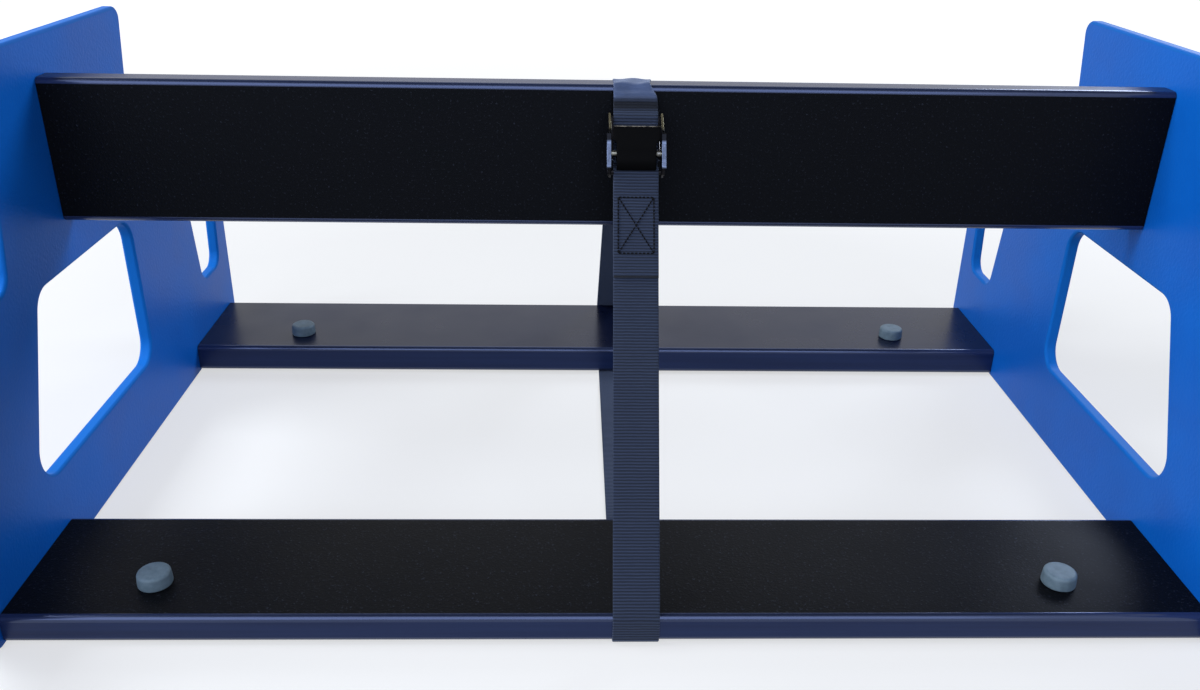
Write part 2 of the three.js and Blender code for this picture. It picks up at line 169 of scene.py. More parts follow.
def finish(name, colour, rough, metal=0.0, **more):
    """A material with a Principled shader; returns the material, its tree and the shader."""
    mat = bpy.data.materials.new(name)
    mat.use_nodes = True
    tree = mat.node_tree
    shader = tree.nodes["Principled BSDF"]
    shader.inputs["Base Color"].default_value = rgba(colour)
    shader.inputs["Roughness"].default_value = rough
    shader.inputs["Metallic"].default_value = metal
    for key, value in more.items():
        value = rgba(value) if isinstance(value, str) else value
        shader.inputs[key.replace("_", " ")].default_value = value
    return mat, tree, shader


def feed(tree, shader, **sockets):
    """Links sockets to the shader's inputs of these names."""
    for name, socket in sockets.items():
        tree.links.new(socket, shader.inputs[name.replace("_", " ")])


def bump(tree, shader, height, distance, strength=1.0):
    """Sends a height in 0..1 to the shader's normal as relief of that depth in metres."""
    node = add(tree, "ShaderNodeBump", [("Height", height)], Strength=strength, Distance=distance)
    feed(tree, shader, Normal=node.outputs["Normal"])


def object_coords(tree):
    """Object coordinates, in metres."""
    return add(tree, "ShaderNodeTexCoord").outputs["Object"]


def stretched(tree, along):
    """Object coordinates scaled along x, so that a noise on them makes marks along the board."""
    node = add(tree, "ShaderNodeMapping", [("Vector", object_coords(tree))])
    node.inputs["Scale"].default_value = (along, 1.0, 1.0)
    return node.outputs["Vector"]


def noise(tree, where, scale, detail, rough=0.5):
    """Noise of 0..1 on a vector, with that many cells to its unit."""
    node = add(tree, "ShaderNodeTexNoise", [("Vector", where)], Scale=scale, Detail=detail,
               Roughness=rough)
    return node.outputs["Fac"]


def mix_colour(tree, factor, first, second):
    """Mixes two colours, each hex text or a socket, by a factor socket."""
    node = add(tree, "ShaderNodeMix", [(0, factor)], data_type="RGBA")
    for slot, colour in ((6, first), (7, second)):
        if isinstance(colour, str):
            node.inputs[slot].default_value = rgba(colour)
        else:
            tree.links.new(colour, node.inputs[slot])
    return node.outputs[2]


def span(tree, socket, low, high, to_low=0.0, to_high=1.0):
    """Maps a value range to another, clamped."""
    node = add(tree, "ShaderNodeMapRange", [(0, socket)])
    for i, v in enumerate((low, high, to_low, to_high), start=1):
        node.inputs[i].default_value = v
    return node.outputs[0]


def figure(tree, operation, *values):
    """Math node of numbers or sockets."""
    node = add(tree, "ShaderNodeMath", operation=operation)
    for slot, value in zip(node.inputs, values):
        if isinstance(value, (int, float)):
            slot.default_value = value
        else:
            tree.links.new(value, slot)
    return node.outputs[0]


# Materials


def blue_sheet_face():
    """Textured face of polyethylene sheet: the orange peel breaks the light into soft grains."""
    # Specular tint: reflections tinted cyan, a painted blue reflection
    mat, tree, shader = finish("polyethylene sheet, royal blue, orange peel", "#0e6acb", 0.45,
                               Specular_IOR_Level=0.2, Specular_Tint="#8cc8ff")
    where = object_coords(tree)
    bump(tree, shader, noise(tree, where, 330.0, 2.5), 0.0009, 0.3)
    broad = noise(tree, where, 9.0, 3.0)
    colour = mix_colour(tree, span(tree, broad, 0.35, 0.65), "#0c65c6", "#106fd2")
    feed(tree, shader, Base_Color=colour, Roughness=span(tree, broad, 0.3, 0.7, 0.4, 0.48))
    return mat


def blue_sheet_edge():
    """Routed edge of the sheet: smoother and a little paler than the face, with cutter marks."""
    # Specular tint: reflections tinted light blue, a painted blue reflection
    mat, tree, shader = finish("polyethylene sheet, routed edge", "#1672cc", 0.5,
                               Specular_IOR_Level=0.12, Specular_Tint="#a9d2ff")
    bump(tree, shader, noise(tree, stretched(tree, 0.15), 900.0, 1.0), 0.0001, 0.4)
    return mat


def black_board_face():
    """Broad faces of the black board: near-black and dull, with a fine sparkle in the grain."""
    # Specular tint: reflections tinted pale blue, a painted blue reflection
    mat, tree, shader = finish("polyethylene board, black, fine grain", "#0b0c11", 0.52,
                               Specular_IOR_Level=0.08, Specular_Tint="#c4cde8")
    where = object_coords(tree)
    grain = noise(tree, where, 480.0, 3.0, 0.6)
    bump(tree, shader, grain, 0.0004, 0.6)
    colour = mix_colour(tree, span(tree, grain, 0.6, 0.76), "#08090b", "#2f323a")
    rough = span(tree, noise(tree, where, 7.0, 4.0), 0.3, 0.7, 0.42, 0.52)
    feed(tree, shader, Base_Color=colour, Roughness=rough)
    return mat


def black_board_smooth():
    """Faces of the thicker rear board: smooth, so its top mirrors a dim sky; its navy tint and
    blue-tinted reflections are a painted blue reflection.
    """
    # Navy base and blue specular tint: painted blue reflection on black plastic
    mat, tree, shader = finish("polyethylene board, black, smooth, painted blue reflection", "#0b1126", 0.3,
                               Specular_IOR_Level=0.36, Specular_Tint="#8aa4e8")
    where = object_coords(tree)
    bump(tree, shader, noise(tree, where, 260.0, 3.0), 0.0001, 0.3)
    cloud = noise(tree, where, 12.0, 4.0)
    feed(tree, shader, Roughness=span(tree, cloud, 0.3, 0.7, 0.24, 0.36))
    return mat


def planed(name, low, high, rough, shine):
    """Planed polyethylene: smoother than the grained face, with long fine marks of the blade;
    its reflections are tinted blue, a painted blue reflection.
    """
    mat, tree, shader = finish(name, low, rough, Specular_IOR_Level=shine, Specular_Tint="#a3b4e6")
    where = stretched(tree, 0.02)
    bump(tree, shader, noise(tree, where, 700.0, 2.0), 0.00008, 0.4)
    scuffs = span(tree, noise(tree, where, 160.0, 5.0), 0.35, 0.7)
    feed(tree, shader, Base_Color=mix_colour(tree, scuffs, low, high))
    return mat


def black_board_side():
    """Planed narrow sides of the board: black, coloured navy as a painted blue reflection."""
    # Navy base colours: painted blue reflection on black plastic
    return planed("polyethylene board, planed side, painted blue reflection", "#141f3e", "#1d2a4c", 0.36, 0.5)


def black_board_corner():
    """Rounded long edges of the board, burnished by the cutter: paler lines, a painted highlight.
    """
    # Paler base colours than the black board: painted highlight along the rounded edges
    return planed("polyethylene board, burnished edge, painted highlight", "#20263a", "#2c344c", 0.2, 1.1)


def webbing_cloth(top):
    """Woven strap: ribs across and fine yarns along, which dull it and give it a soft nap.

    Round the top, given in mm along the strap, the nap is flattened: less relief and lower
    roughness, so it shines, and a lighter colour there is a painted highlight; a darker band below
    is painted shade in the crease; the cut end is melted black.
    """
    mat, tree, shader = finish("polyester webbing, dark grey", "#1c2130", 0.8,
                               Sheen_Weight=0.5, Sheen_Roughness=0.45, Sheen_Tint="#a0aeca",
                               Specular_IOR_Level=0.25)
    uv = add(tree, "ShaderNodeUVMap", uv_map="strap_mm").outputs["UV"]
    parts = add(tree, "ShaderNodeSeparateXYZ", [("Vector", uv)])
    across, along = parts.outputs["X"], parts.outputs["Y"]
    pressed_and_highlight = figure(tree, "MULTIPLY", span(tree, along, top - 40, top - 25),
                     span(tree, along, top + 22, top + 16))
    # Crease band below the top: its colour is darkened towards near black, painted shade in the
    # crease
    crease = figure(tree, "MULTIPLY", span(tree, along, top + 17, top + 22),
                    span(tree, along, top + 31, top + 26))
    drift = figure(tree, "MULTIPLY", noise(tree, uv, 0.09, 3.0), 1.6)
    rib = figure(tree, "SINE",
                 figure(tree, "MULTIPLY_ADD", along, 2 * math.pi / RIB_PITCH, drift))
    yarn = figure(tree, "SINE", figure(tree, "MULTIPLY", across, 2 * math.pi / YARN_PITCH))
    weave = figure(tree, "MULTIPLY_ADD", yarn, 0.35, rib)
    weave = figure(tree, "MULTIPLY", weave, figure(tree, "MULTIPLY_ADD", pressed_and_highlight, -0.8, 1.0))
    height = span(tree, weave, -1.35, 1.35)
    bump(tree, shader, height, 0.00045)
    cloud = span(tree, noise(tree, uv, 0.07, 2.0), 0.3, 0.7, 0.55, 1.0)
    # Colour follows the weave's height: darker in the grooves, a painted shade in the weave's
    # hollows
    colour = mix_colour(tree, height, "#0d121d", "#374157")
    # Blue-grey over the top zone is a painted highlight; near black in the crease is painted
    # shade; the melted end is the cloth's own black
    for share, code in ((figure(tree, "MULTIPLY", pressed_and_highlight, cloud), "#4b5979"),
                        (figure(tree, "MULTIPLY", crease, 0.85), "#090b10"),
                        (span(tree, along, 1.4, 0.9), "#040406")):
        colour = mix_colour(tree, share, colour, code)
    feed(tree, shader, Base_Color=colour, Roughness=span(tree, pressed_and_highlight, 0.0, 1.0, 0.8, 0.5))
    return mat


def sewing_thread():
    """Black bonded thread: darker and a little shinier than the cloth under it."""
    return finish("bonded sewing thread, black", "#030305", 0.6, Specular_IOR_Level=0.1)[0]


def plated_steel():
    """Edges of the buckle frame, where the dark plating is rubbed bright; by height, a near black
    band is painted shade and a warm band at the mouth is a painted highlight.
    """
    mat, tree, shader = finish("plated steel, rubbed edge, painted light bands", "#6d7484", 0.3, 1.0)
    where = object_coords(tree)
    height = add(tree, "ShaderNodeSeparateXYZ", [("Vector", where)]).outputs["Z"]
    cloud = noise(tree, where, 260.0, 4.0)
    colour = mix_colour(tree, span(tree, cloud, 0.35, 0.65), "#434b5c", "#59637a")
    # Painted shade: near black above 0.3685 m height; painted highlight: warm colour above 0.3775
    # m, at the mouth
    colour = mix_colour(tree, span(tree, height, 0.3665, 0.3685), colour, "#15161a")
    colour = mix_colour(tree, span(tree, height, 0.3755, 0.3775), colour, "#8a846c")
    feed(tree, shader, Base_Color=colour, Roughness=span(tree, cloud, 0.3, 0.7, 0.24, 0.36))
    return mat


def clouded(name, colours, rough, scale, low=0.35, high=0.7, metal=1.0, **more):
    """A finish whose colour drifts between two in soft clouds of that scale; returns its parts."""
    mat, tree, shader = finish(name, colours[0], rough, metal, **more)
    cloud = noise(tree, object_coords(tree), scale, 4.0 if metal else 5.0)
    feed(tree, shader, Base_Color=mix_colour(tree, span(tree, cloud, low, high), *colours))
    return mat, tree, shader, cloud


def dark_steel():
    """Broad sides of the buckle frame, still covered by their dark plating: nearly black."""
    return clouded("plated steel, dark", ("#161619", "#262528"), 0.42, 190.0)[0]


def worn_steel():
    """Bare steel where the lever's black coat is rubbed off its thumb edge: a thin bright line."""
    return clouded("bare worn steel", ("#34322f", "#7a756b"), 0.35, 420.0, 0.4, 0.62)[0]


def grey_rubber():
    """Grey rubber of the bumpers: soft highlight, slightly dusty."""
    mat, tree, shader, dust = clouded("rubber, blue grey", ("#5f7079", "#6f8089"), 0.55, 160.0,
                                      metal=0.0, Specular_IOR_Level=0.3)
    bump(tree, shader, dust, 0.0002, 0.3)
    return mat


def coated_steel():
    """Black coated steel of the lever: satin black with a faint powder texture."""
    mat, tree, shader = finish("coated steel, black", "#030304", 0.55, Specular_IOR_Level=0.03)
    bump(tree, shader, noise(tree, object_coords(tree), 1800.0, 2.0), 0.00008, 0.35)
    return mat


def bright_steel(name, colour, rough):
    """Plain steel: bright, with a slight unevenness in its polish."""
    mat, tree, shader = finish(name, colour, rough, 1.0)
    cloud = noise(tree, object_coords(tree), 500.0, 3.0)
    feed(tree, shader, Roughness=span(tree, cloud, 0.3, 0.7, rough - 0.06, rough + 0.06))
    return mat


# Surface functions: each returns whole numpy arrays in millimetres


def rounded_outline(rows, steps):
    """Closed outline with corner i replaced by an arc of its radius.

    The arc's centre lies on the corner's bisector at r / sin(half angle); the arc is swept from
    the foot on one side to the foot on the other in equal steps.
    """
    rows = np.asarray(rows, float)
    p, r = rows[:, :2], rows[:, 2:3]
    d0 = np.roll(p, 1, 0) - p
    d1 = np.roll(p, -1, 0) - p
    d0 /= np.linalg.norm(d0, axis=1, keepdims=True)
    d1 /= np.linalg.norm(d1, axis=1, keepdims=True)
    half = np.arccos(np.clip((d0 * d1).sum(1, keepdims=True), -1, 1)) / 2
    mid = d0 + d1
    mid /= np.linalg.norm(mid, axis=1, keepdims=True)
    centre = p + mid * r / np.sin(half)
    start = p + d0 * r / np.tan(half) - centre
    end = p + d1 * r / np.tan(half) - centre
    a0 = np.arctan2(start[:, 1], start[:, 0])
    sweep = (np.arctan2(end[:, 1], end[:, 0]) - a0 + math.pi) % (2 * math.pi) - math.pi
    ang = a0[:, None] + sweep[:, None] * np.linspace(0, 1, steps + 1)
    arc = centre[:, None, :] + r[:, None, :] * np.stack([np.cos(ang), np.sin(ang)], -1)
    return arc.reshape(-1, 2)


def circle(u, v, r, n):
    """Circle of n points about (u, v)."""
    t = np.linspace(0, 2 * math.pi, n, endpoint=False)
    return np.stack([u + r * np.cos(t), v + r * np.sin(t)], -1)


def area2(loop):
    """Twice the signed area of a closed loop."""
    x, y = loop[:, 0], loop[:, 1]
    return float((x * np.roll(y, -1) - np.roll(x, -1) * y).sum())


def inside(points, loop):
    """True where a point is inside a loop, by counting crossings of a ray to the right."""
    x, y = points[:, 0:1], points[:, 1:2]
    ax, ay = loop[:, 0], loop[:, 1]
    bx, by = np.roll(ax, -1), np.roll(ay, -1)
    spans = (ay > y) != (by > y)
    with np.errstate(divide="ignore", invalid="ignore"):
        cut = ax + (y - ay) * (bx - ax) / (by - ay)
    return ((spans & (x < cut)).sum(1) % 2) == 1


def ring_faces(rows, cols, base=0, close=False):
    """Quads between successive rings of a grid; the last ring joins the first if closed."""
    i = np.arange(rows if close else rows - 1)[:, None]
    j = np.arange(cols)[None, :]
    i1, j1 = (i + 1) % rows, (j + 1) % cols
    quad = np.stack([i * cols + j, i * cols + j1, i1 * cols + j1, i1 * cols + j], -1)
    return quad.reshape(-1, 4) + base


def slab(outer, holes, x0, x1, r, steps=5):
    """Sheet with rounded edges, its outline in (y, z) and its thickness from x0 to x1.

    Around each loop the edge is a quarter circle at each face: at angle f the loop is set in by
    r (1 - sin f) and lies r (1 - cos f) inside the face. The faces between the innermost rings
    are triangulated. Returns vertices, quads, triangles and normals.
    """
    f = np.linspace(0, math.pi / 2, steps + 1)
    set_in = np.concatenate([1 - np.sin(f), (1 - np.sin(f))[::-1]]) * r
    xs = np.concatenate([x0 + r * (1 - np.cos(f)), (x1 - r * (1 - np.cos(f)))[::-1]])
    nx = np.concatenate([-np.cos(f), np.cos(f)[::-1]])
    nr = np.concatenate([np.sin(f), np.sin(f)[::-1]])
    verts, norms, quads, caps, base = [], [], [], [], 0
    for k, loop in enumerate([outer, *holes]):
        turn = area2(loop) > 0
        loop = loop if turn == (k == 0) else loop[::-1]
        tangent = np.roll(loop, -1, 0) - np.roll(loop, 1, 0)
        tangent /= np.linalg.norm(tangent, axis=1, keepdims=True)
        out = np.stack([tangent[:, 1], -tangent[:, 0]], -1)
        flat = loop[None] - out[None] * set_in[:, None, None]
        x = np.broadcast_to(xs[:, None, None], flat.shape[:2] + (1,))
        verts.append(np.concatenate([x, flat], -1).reshape(-1, 3))
        nrm = np.concatenate([np.broadcast_to(nx[:, None, None], flat.shape[:2] + (1,)),
                              nr[:, None, None] * out[None]], -1)
        norms.append(nrm.reshape(-1, 3))
        rows, cols = flat.shape[:2]
        quads.append(ring_faces(rows, cols, base))
        caps.append((flat[0], base, base + (rows - 1) * cols))
        base += rows * cols
    pts = np.concatenate([c[0] for c in caps])
    low = np.concatenate([c[1] + np.arange(len(c[0])) for c in caps])
    high = np.concatenate([c[2] + np.arange(len(c[0])) for c in caps])
    edges, at = [], 0
    for c in caps:
        n = len(c[0])
        first = np.arange(n)
        edges += np.stack([at + first, at + (first + 1) % n], -1).tolist()
        at += n
    found = delaunay_2d_cdt([Vector(p) for p in pts], edges, [], 0, 1e-9)
    tri = np.array([t for t in found[2] if len(t) == 3])
    tri = np.array([o[0] for o in found[3]])[tri]
    mid = pts[tri].mean(1)
    keep = inside(mid, caps[0][0])
    for c in caps[1:]:
        keep &= ~inside(mid, c[0])
    tri = tri[keep]
    a, b, c = pts[tri[:, 0]], pts[tri[:, 1]], pts[tri[:, 2]]
    ccw = np.cross(b - a, c - a) > 0
    tri = np.where(ccw[:, None], tri, tri[:, ::-1])
    tris = np.concatenate([high[tri], low[tri][:, ::-1]])
    return np.concatenate(verts), np.concatenate(quads), tris, np.concatenate(norms)


def lathe(profile, n, shape=None):
    """Surface of revolution about +z from rows of (r, z) whose first and last r are 0.

    shape, if given, is an array (rows, n) of factors on the radius, for a socket that isn't round.
    """
    profile = np.asarray(profile, float)
    t = np.linspace(0, 2 * math.pi, n, endpoint=False)
    mid = profile[1:-1]
    rad = mid[:, :1] * (np.ones((len(mid), n)) if shape is None else shape)
    z = np.broadcast_to(mid[:, 1:2], rad.shape)
    ring = np.stack([rad * np.cos(t), rad * np.sin(t), z], -1)
    verts = np.concatenate([ring.reshape(-1, 3), [[0, 0, profile[0, 1]], [0, 0, profile[-1, 1]]]])
    quads = ring_faces(len(mid), n)
    j = np.arange(n)
    last = (len(mid) - 1) * n
    bottom = np.stack([(j + 1) % n, j, np.full(n, len(mid) * n)], -1)
    top = np.stack([last + j, last + (j + 1) % n, np.full(n, len(mid) * n + 1)], -1)
    return verts, quads, np.concatenate([bottom, top])


def sweep(path, side, section, closed=False, scale=None):
    """Tube of a closed section (rows of u, v) along a path of points.

    u is along the side direction at each point and v along side x tangent; the ends are closed
    by a fan unless the path is closed. scale, if given, is a factor on the section per point.
    """
    path = np.asarray(path, float)
    tangent = np.gradient(path, axis=0)
    if closed:
        tangent = np.roll(path, -1, 0) - np.roll(path, 1, 0)
    tangent /= np.linalg.norm(tangent, axis=1, keepdims=True)
    side = np.broadcast_to(np.asarray(side, float), path.shape)
    side = side - (side * tangent).sum(1, keepdims=True) * tangent
    side /= np.linalg.norm(side, axis=1, keepdims=True)
    up = np.cross(side, tangent)
    sec = np.broadcast_to(section, (len(path),) + np.shape(section)[-2:]).copy()
    if scale is not None:
        sec *= np.asarray(scale)[:, None, None]
    ring = path[:, None] + sec[..., :1] * side[:, None] + sec[..., 1:] * up[:, None]
    m, n = ring.shape[:2]
    quads = ring_faces(m, n, close=closed)
    if closed:
        return ring.reshape(-1, 3), quads, np.zeros((0, 3), int)
    verts = np.concatenate([ring.reshape(-1, 3), ring[0].mean(0)[None], ring[-1].mean(0)[None]])
    j = np.arange(n)
    a = np.stack([(j + 1) % n, j, np.full(n, m * n)], -1)
    b = np.stack([(m - 1) * n + j, (m - 1) * n + (j + 1) % n, np.full(n, m * n + 1)], -1)
    return verts, quads, np.concatenate([a, b])


def turned_out(verts, quads, tris):
    """Flips all faces if the closed mesh's signed volume is negative."""
    vol = 0.0
    for f in (tris, quads[:, [0, 1, 2]], quads[:, [0, 2, 3]]):
        if len(f):
            a, b, c = verts[f[:, 0]], verts[f[:, 1]], verts[f[:, 2]]
            vol += float((a * np.cross(b, c)).sum())
    if vol < 0:
        return quads[:, ::-1], tris[:, ::-1]
    return quads, tris


def merge(parts):
    """Joins several (verts, quads, tris) into one."""
    verts, quads, tris, base = [], [], [], 0
    for v, q, t in parts:
        q, t = turned_out(v, q, t)
        verts.append(v)
        quads.append(q + base)
        tris.append(t + base)
        base += len(v)
    return np.concatenate(verts), np.concatenate(quads), np.concatenate(tris)


def make(name, verts, quads, tris, mats, normals=None, uv=None, picks=None, sharp=32.0):
    """Makes the object. uv is per vertex, picks is the material number of each face."""
    quads, tris = turned_out(verts, quads, tris)
    mesh = bpy.data.meshes.new(name)
    co = (verts + np.array([0.0, Y_SHIFT, 0.0])) * 0.001
    nq, nt = len(quads), len(tris)
    loops = np.concatenate([quads.ravel(), tris.ravel()]).astype(np.int32)
    starts = np.concatenate([np.arange(nq) * 4, nq * 4 + np.arange(nt) * 3]).astype(np.int32)
    mesh.vertices.add(len(co))
    mesh.vertices.foreach_set("co", co.astype(np.float32).ravel())
    mesh.loops.add(len(loops))
    mesh.loops.foreach_set("vertex_index", loops)
    mesh.polygons.add(nq + nt)
    mesh.polygons.foreach_set("loop_start", starts)
    mesh.update(calc_edges=True)
    for mat in mats:
        mesh.materials.append(mat)
    if picks is not None:
        mesh.polygons.foreach_set("material_index", np.asarray(picks, np.int32))
    mesh.polygons.foreach_set("use_smooth", np.ones(nq + nt, bool))
    if uv is not None:
        layer = mesh.uv_layers.new(name="strap_mm")
        layer.data.foreach_set("uv", np.asarray(uv, np.float32)[loops].ravel())
    mesh.validate()
    if normals is not None:
        mesh.normals_split_custom_set_from_vertices(np.asarray(normals, float).tolist())
    else:
        mesh.set_sharp_from_angle(angle=math.radians(sharp))
    obj = bpy.data.objects.new(name, mesh)
    bpy.context.scene.collection.objects.link(obj)
    return obj


def stand_for(obj, body, slot, *nodes):
    """The piece takes the place of these CAD nodes and rides on their body; slot is not used."""
    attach(obj, body)
    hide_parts(*nodes)


# Centres of the strap's bends round the boards' edges, as (y, z)
CORNERS = np.array([
    (UPPER_FRONT + BOARD_R, UPPER_TOP - BOARD_R),
    (FRONT_LIP + BOARD_R, BOARD_LIFT + BOARD_T - BOARD_R),
    (FRONT_LIP + BOARD_R, BOARD_LIFT + BOARD_R),
    (REAR_BOARD + LOW_W - BOARD_R, BOARD_LIFT + BOARD_R),
    (REAR_BOARD + LOW_W - BOARD_R, BOARD_LIFT + REAR_BOARD_T - BOARD_R),
    (UPPER_FRONT + BOARD_T - BOARD_R, UPPER_TOP - BOARD_R)])
BEND_R = BOARD_R + GAP + STRAP_T / 2

# The strap's front run: unit directions up the strap and outwards, and the foot of the pivot
UP = (CORNERS[0] - CORNERS[1]) / np.linalg.norm(CORNERS[0] - CORNERS[1])
OUT = np.array([-UP[1], UP[0]])
RUN_TOP = 60.8
FOOT = CORNERS[0] + OUT * BEND_R - UP * RUN_TOP

# Places along the front run: the sewn end, where the fold lifts off, the slit and the free tail
SEWN_END = -105.0
FOLD_LIFTS = -34.0
SLIT = -3.6
TAIL = (-30.0, -86.0)


def run_points(a, n):
    """Points of the strap's front run: a up the strap from the pivot, n outwards, as (y, z)."""
    a, n = np.broadcast_arrays(np.asarray(a, float), np.asarray(n, float))
    return FOOT + a[..., None] * UP + (n - LINE_N)[..., None] * OUT


def to_rack(local):
    """Buckle points (x across, a up the strap, n outwards) to rack points (x, y, z)."""
    local = np.asarray(local, float)
    yz = run_points(local[:, 1], local[:, 2])
    return np.concatenate([local[:, :1] + STRAP_X, yz], 1)


def arc_points(centre, r, a0, a1, n):
    """Arc from angle a0 to a1 about a centre."""
    t = np.linspace(a0, a1, n)
    return np.asarray(centre) + r * np.stack([np.cos(t), np.sin(t)], -1)


def corner_arc(i, n):
    """The strap's bend round corner i, from the run before it to the run after it."""
    d = np.roll(CORNERS, -1, 0) - CORNERS
    d /= np.linalg.norm(d, axis=1, keepdims=True)
    out = np.stack([d[:, 1], -d[:, 0]], -1)
    before, after = out[i - 1], out[i]
    a0 = math.atan2(before[1], before[0])
    a1 = math.atan2(after[1], after[0])
    a1 = a1 + 2 * math.pi if a1 < a0 else a1
    return arc_points(CORNERS[i], BEND_R, a0, a1, n)


def slack(a):
    """How far the strap stands off its straight run: two soft Gaussian bulges above the buckle."""
    return 4.0 * np.exp(-((a - 51.5) / 5.0) ** 2) + 2.2 * np.exp(-((a - 34.0) / 4.2) ** 2)


def eased(a0, n0, a1, n1, steps=12):
    """Soft step of the strap from height n0 to n1: n = n0 + (n1 - n0) t t (3 - 2 t)."""
    t = np.linspace(0, 1, steps)
    return run_points(a0 + (a1 - a0) * t, n0 + (n1 - n0) * t * t * (3 - 2 * t))


def strap_path():
    """Middle line of the strap in (y, z), from the sewn end to the free tail.

    Straight runs, arcs round the boards and the anchor bar, and soft steps beside the bar.
    """
    wrap = PIN_R + GAP + STRAP_T / 2
    fold = LINE_N + STRAP_T + GAP
    tail = BAR_N - wrap - STRAP_T - GAP
    turn, bend = math.radians(70), 2.5
    drop = (LINE_N - tail - 2 * bend * (1 - math.cos(turn))) / math.sin(turn)
    end = SLIT - 2 * bend * math.sin(turn) - drop * math.cos(turn)
    quarter = math.pi / 2
    bar = arc_points((BAR_A, BAR_N), wrap, quarter, -quarter, 18)
    first = arc_points((SLIT, LINE_N - bend), bend, quarter, quarter + turn, 8)
    second = arc_points((end, tail + bend), bend, turn - quarter, -quarter, 8)
    run = np.linspace(RUN_TOP - 1, 0.4, 48)
    return np.concatenate([
        run_points([SEWN_END], fold), eased(FOLD_LIFTS, fold, BAR_A - 1, BAR_N + wrap),
        run_points(*bar.T), eased(BAR_A - 1, BAR_N - wrap, FOLD_LIFTS, LINE_N),
        corner_arc(1, 8), corner_arc(2, 12), corner_arc(3, 12), corner_arc(4, 8),
        corner_arc(5, 12), corner_arc(0, 14), run_points(run, LINE_N + slack(run)),
        run_points(*first.T), run_points(*second.T), run_points(TAIL, [tail, tail - 1.2])])


def evened(path, step):
    """The path in steps of at most that length, and the distance along it at each point."""
    d = np.linalg.norm(np.diff(path, axis=0), axis=1)
    path = path[np.concatenate([[True], d > 1e-6])]
    s = np.concatenate([[0], np.cumsum(np.linalg.norm(np.diff(path, axis=0), axis=1))])
    n = np.maximum(1, np.ceil(np.diff(s) / step)).astype(int)
    base = np.repeat(np.arange(len(n)), n)
    within = (np.arange(n.sum()) - np.repeat(np.cumsum(n) - n, n)) / n[base]
    at = np.concatenate([s[base] + within * np.diff(s)[base], s[-1:]])
    return np.stack([np.interp(at, s, path[:, k]) for k in (0, 1)], -1), at


class RACK_OT_panels(Operator):
    """Builds the two end panels with their slots and window."""

    bl_idname = "rack.panels"
    bl_label = "End panels"

    def execute(self, context):
        sizes = context.scene.rack_sizes
        edge = sizes.panel_edge * 1000
        outer = rounded_outline(PANEL_ROWS, sizes.corner_steps)
        window = rounded_outline(WINDOW_ROWS, sizes.corner_steps)
        mats = [blue_sheet_face(), blue_sheet_edge()]
        for side, x0 in (("left", -INNER - PANEL_T), ("right", INNER)):
            v, q, t, n = slab(outer, [window], x0, x0 + PANEL_T, edge, 6)
            picks = np.concatenate([np.ones(len(q), int), np.zeros(len(t), int)])
            obj = make(f"panel_{side}", v, q, t, mats, normals=n, picks=picks)
            stand_for(obj, "rack", "blue_sheet", f"end_panel_{side}")
        return {"FINISHED"}


class RACK_OT_boards(Operator):
    """Builds the upper board and the two lower boards."""

    bl_idname = "rack.boards"
    bl_label = "Boards"

    def execute(self, context):
        r = context.scene.rack_sizes.board_edge * 1000
        side, corner = black_board_side(), black_board_corner()
        grained, smooth = black_board_face(), black_board_smooth()
        places = {
            "upper_board": (UPPER_FRONT, UPPER_TOP - UPPER_H, BOARD_T, UPPER_H),
            "front_lower_board": (FRONT_LIP, BOARD_LIFT, LOW_W, BOARD_T),
            "rear_lower_board": (REAR_BOARD, BOARD_LIFT, LOW_W, REAR_BOARD_T)}
        for name, (y, z, w, h) in places.items():
            rows = [(y, z, r), (y + w, z, r), (y + w, z + h, r), (y, z + h, r)]
            v, q, t, n = slab(rounded_outline(rows, 10), [], -INNER + GAP, INNER - GAP, 0.6, 3)
            facing = np.abs(n[q].mean(1))
            narrow, broad = facing[:, 2 if w < h else 1], facing[:, 1 if w < h else 2]
            rim = (narrow > 0.05).astype(int) + ((narrow > 0.05) & (broad > 0.05))
            picks = np.concatenate([rim, np.zeros(len(t), int)])
            mats = [smooth if name == "rear_lower_board" else grained, side, corner]
            obj = make(f"{name}_surface", v, q, t, mats, normals=n, picks=picks)
            stand_for(obj, "rack", "black_board", name)
        return {"FINISHED"}


